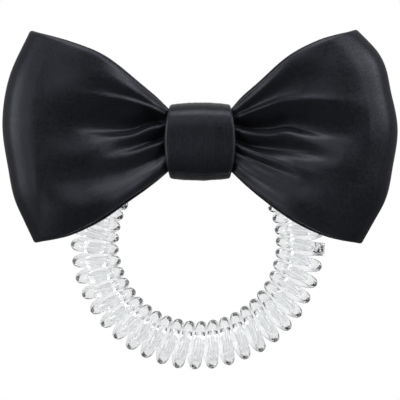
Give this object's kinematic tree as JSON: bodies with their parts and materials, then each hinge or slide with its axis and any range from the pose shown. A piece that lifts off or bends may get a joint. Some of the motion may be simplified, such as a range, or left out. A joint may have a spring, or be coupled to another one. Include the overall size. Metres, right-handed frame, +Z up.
{
  "type": "hair bow",
  "caption": "Small satin bow with two open loops, pinched by a band that also holds a clear spiral elastic hair ring.",
  "frame": {"origin": "centre of the spiral ring's hole, where the ponytail passes through", "axes": "+X to the right seen from the bow's front, +Z up from the ring to the bow, +Y away from the viewer along the ponytail"},
  "size_m": [0.0752, 0.024, 0.0651],
  "materials": {
    "satin": "black satin weave, soft sheen",
    "lining": "matte non-woven lining",
    "thread": "twisted sewing thread",
    "clear_coil": "clear elastic plastic, polished"
  },
  "bodies": {
    "hair_ring": {"coil_ring_upper": "clear_coil"},
    "ring_lower": {"coil_ring_lower": "clear_coil", "weld_bead": "clear_coil"},
    "knot": {"waist_front_pleats": "satin", "waist_back_lap": "satin", "waist_thread": "thread", "knot_band_satin": "satin", "knot_band_lining": "lining", "knot_band_stitches": "thread"},
    "left_loop": {"left_loop_satin": "satin", "left_loop_stiffener": "lining"},
    "right_loop": {"right_loop_satin": "satin", "right_loop_stiffener": "lining"}
  },
  "joints": [
    {"name": "bow_roll", "type": "hinge", "parent": "hair_ring", "child": "knot", "pos_m": [0.0005, 0, 0.0197], "axis": [-1, 0, 0], "range_deg": [0, 90]},
    {"name": "left_loop_flex", "type": "hinge", "parent": "knot", "child": "left_loop", "pos_m": [-0.0085, -0.0077, 0.01935], "axis": [0, 0, 1], "range_deg": [-10, 40], "stiffness_Nm_per_rad": 0.002},
    {"name": "right_loop_flex", "type": "hinge", "parent": "knot", "child": "right_loop", "pos_m": [0.0095, -0.0077, 0.01935], "axis": [0, 0, -1], "range_deg": [-10, 40], "stiffness_Nm_per_rad": 0.002},
    {"name": "ring_stretch", "type": "slide", "parent": "hair_ring", "child": "ring_lower", "axis": [0, 0, -1], "range_m": [0, 0.03], "stiffness_N_per_m": 12, "springref_m": -0.004}
  ]
}
